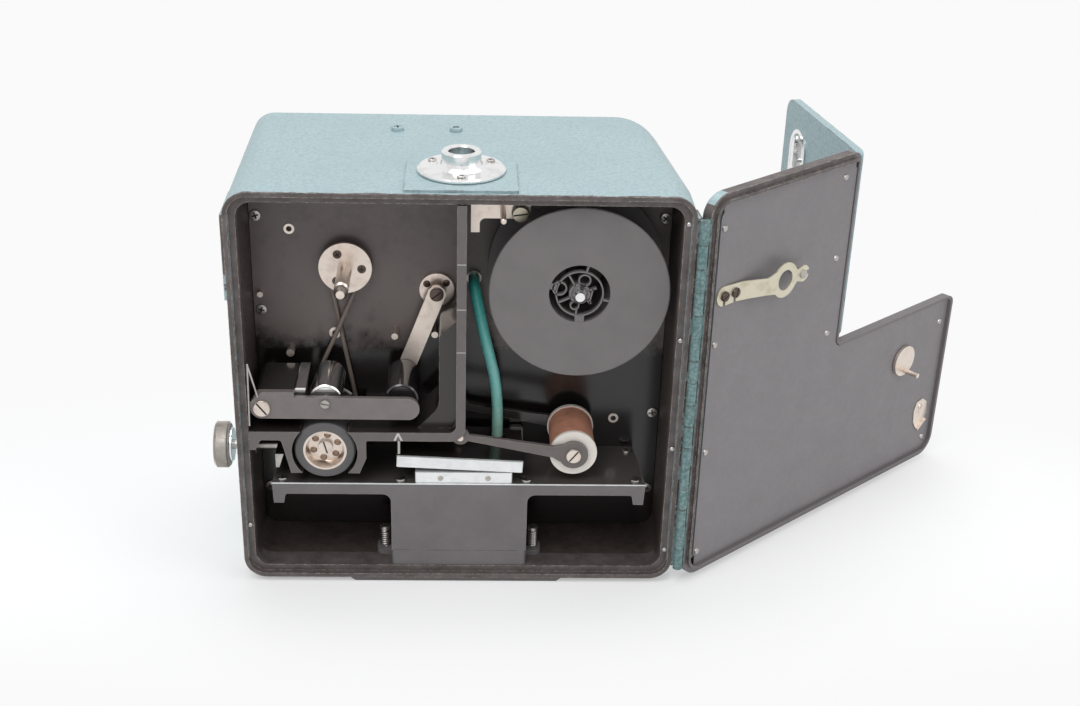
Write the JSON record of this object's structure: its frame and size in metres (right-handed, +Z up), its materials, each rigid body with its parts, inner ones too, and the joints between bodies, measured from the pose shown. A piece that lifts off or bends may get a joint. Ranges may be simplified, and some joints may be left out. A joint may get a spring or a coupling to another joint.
{
  "type": "microfilm camera",
  "caption": "Cast film-camera box standing on a base pad, its front doors swung open on a film reel, rollers, gate and drive.",
  "frame": {"origin": "middle of the base pad's underside, where the camera stands", "axes": "+X to the right seen from the open front, +Y to the rear, +Z up; the lens looks down along -Z"},
  "size_m": [0.4299, 0.1942, 0.235],
  "materials": {
    "casing_paint": "hammered enamel",
    "black_enamel": "satin black",
    "liner_grey": "matt dark grey",
    "steel": "turned",
    "nickel": "nickel plate",
    "aluminium": "machined",
    "glass": "coated",
    "belt_rubber": "matt",
    "rubber": "matt",
    "chrome": "polished",
    "black_plastic": "glossy",
    "copper": "brown",
    "cream": "cream",
    "reel_plastic": "moulded",
    "pipe_paint": "painted pipe",
    "brass": "sheet"
  },
  "bodies": {
    "camera": {"casing": "casing_paint", "mechanism_plate": "black_enamel", "chamber_screws": "steel", "shaft_posts": "steel", "chamber_divider": "black_enamel", "film_platform": "black_enamel", "lens_housing": "black_enamel", "lens_base": "black_enamel", "sprung_studs": "steel", "lens_tube": "black_enamel", "lens_glass": "glass", "gate_track": "aluminium", "gate_stand": "steel", "gate_pins": "steel", "drive_belt": "belt_rubber", "arm_spring": "steel", "tension_bearing": "aluminium", "feeler_mount": "black_enamel", "vacuum_pipe": "pipe_paint", "pipe_fittings": "steel", "top_socket": "chrome", "socket_screws": "steel", "top_plugs": "casing_paint", "knife_bush": "steel", "drive_motor": "black_enamel", "motor_mount": "black_enamel", "casing_hinge": "casing_paint"},
    "takeup": {"takeup_drive": "steel"},
    "metering": {"metering_tyre": "rubber", "metering_hub": "nickel", "metering_drive": "steel"},
    "motor": {"motor_drive": "steel"},
    "reel": {"supply_reel": "reel_plastic", "supply_spindle": "steel"},
    "dancer": {"dancer_arms": "black_enamel", "dancer_axle": "steel"},
    "dancer_wheel": {"dancer_roller": "copper", "dancer_discs": "cream"},
    "tension": {"tension_arm": "black_enamel", "tension_pins": "steel"},
    "tension_wheel": {"tension_roller": "black_plastic"},
    "guide": {"guide_arm": "black_enamel", "film_guides": "chrome"},
    "guide_wheel": {"guide_roller": "chrome"},
    "pressure": {"pressure_plate": "aluminium"},
    "knife": {"knife_knob": "black_plastic", "knife_plunger": "steel"},
    "feeler": {"supply_feeler": "black_enamel"},
    "door": {"main_door": "casing_paint", "door_liner": "liner_grey", "door_fixings": "steel", "door_hinge_leaf": "casing_paint", "reel_keeper": "brass", "small_door_hinge": "casing_paint"},
    "advance": {"film_advance": "steel"},
    "takeup_door": {"small_door": "casing_paint", "pull_cup": "chrome"},
    "latch": {"turn_bar": "chrome"}
  },
  "joints": [
    {"name": "wheel_spin", "type": "hinge", "parent": "camera", "child": "metering", "pos_m": [-0.0707, -0.04, 0.0794], "axis": [0, 1, 0], "continuous": true},
    {"name": "takeup_spin", "type": "hinge", "parent": "camera", "child": "takeup", "pos_m": [-0.0603, -0.04, 0.1675], "axis": [0, 1, 0], "continuous": true},
    {"name": "motor_spin", "type": "hinge", "parent": "camera", "child": "motor", "pos_m": [-0.0447, 0, 0.0794], "axis": [0, 1, 0], "continuous": true},
    {"name": "reel_spin", "type": "hinge", "parent": "camera", "child": "reel", "pos_m": [0.0603, -0.04, 0.1675], "axis": [0, 1, 0], "continuous": true},
    {"name": "dancer_swing", "type": "hinge", "parent": "camera", "child": "dancer", "pos_m": [0.0004, -0.04, 0.0878], "axis": [0, 1, 0], "range_deg": [-20, 3]},
    {"name": "dancer_roll", "type": "hinge", "parent": "dancer", "child": "dancer_wheel", "pos_m": [0.0604, -0.04, 0.077], "axis": [0, 1, 0], "continuous": true},
    {"name": "tension_swing", "type": "hinge", "parent": "camera", "child": "tension", "pos_m": [-0.0126, -0.02, 0.154], "axis": [0, 1, 0], "range_deg": [-1.5, 10]},
    {"name": "tension_roll", "type": "hinge", "parent": "tension", "child": "tension_wheel", "pos_m": [-0.0303, -0.04, 0.1076], "axis": [0, 1, 0], "continuous": true},
    {"name": "guide_swing", "type": "hinge", "parent": "camera", "child": "guide", "pos_m": [-0.1023, -0.04, 0.1049], "axis": [0, 1, 0], "range_deg": [-30, 3]},
    {"name": "guide_roll", "type": "hinge", "parent": "guide", "child": "guide_wheel", "pos_m": [-0.0696, -0.04, 0.1078], "axis": [0, 1, 0], "continuous": true},
    {"name": "pressure_swing", "type": "hinge", "parent": "camera", "child": "pressure", "pos_m": [0.0306, -0.04, 0.06955], "axis": [0, 1, 0], "range_deg": [-2.6, 0.4]},
    {"name": "knife_slide", "type": "slide", "parent": "camera", "child": "knife", "axis": [1, 0, 0], "range_m": [0, 0.0025]},
    {"name": "feeler_swing", "type": "hinge", "parent": "camera", "child": "feeler", "pos_m": [0.0298, -0.04, 0.2056], "axis": [0, 1, 0], "range_deg": [-12, 8]},
    {"name": "door_swing", "type": "hinge", "parent": "camera", "child": "door", "pos_m": [0.1192, -0.0695, 0.1], "axis": [0, 0, 1], "range_deg": [-220.6, 0]},
    {"name": "advance_turn", "type": "hinge", "parent": "door", "child": "advance", "pos_m": [0.26306, 0.05446, 0.0794], "axis": [0.6508, -0.7593, 0], "continuous": true},
    {"name": "takeup_door_swing", "type": "hinge", "parent": "door", "child": "takeup_door", "pos_m": [0.21041, 0.01447, 0.16], "axis": [0, 0, 1], "range_deg": [-59, 48]},
    {"name": "latch_turn", "type": "hinge", "parent": "takeup_door", "child": "latch", "pos_m": [0.19724, 0.09774, 0.188], "axis": [0.986, 0.1668, 0], "range_deg": [0, 90]}
  ],
  "couplings": [
    {"joint": "takeup_spin", "follows": "wheel_spin", "ratio": -1.5758},
    {"joint": "motor_spin", "follows": "wheel_spin", "ratio": -3.3333}
  ]
}
